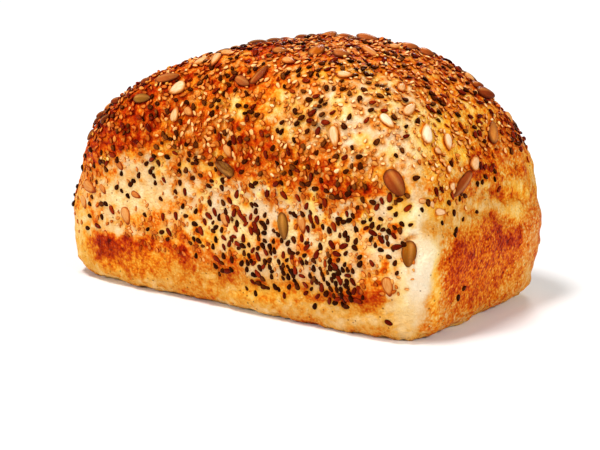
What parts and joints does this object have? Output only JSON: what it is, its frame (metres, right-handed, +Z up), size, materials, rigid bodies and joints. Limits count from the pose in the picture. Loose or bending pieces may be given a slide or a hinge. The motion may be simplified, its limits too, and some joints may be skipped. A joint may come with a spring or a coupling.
{
  "type": "multigrain sourdough loaf",
  "caption": "Whole tin-baked multigrain sourdough loaf with a tall domed top, square sides and a seeded, unevenly browned crust.",
  "frame": {"origin": "under the middle of the loaf, on the flat base that it rests on", "axes": "+Z up from the base, +X along the loaf's length, +Y across it"},
  "size_m": [0.2156, 0.1249, 0.1223],
  "materials": {
    "crust": "baked crust, uneven from pale cream to red-brown, satin where it is browned",
    "pumpkin_seed": "toasted, olive to red-brown, slightly glossy",
    "sunflower_kernel": "toasted, pale cream to tan, slightly glossy",
    "white_sesame": "toasted, cream to golden brown, slightly glossy",
    "black_sesame": "black, slightly glossy",
    "linseed": "red-brown, glossy",
    "millet": "cream to yellow, satin"
  },
  "bodies": {
    "root": {"loaf": "crust"}
  },
  "joints": []
}
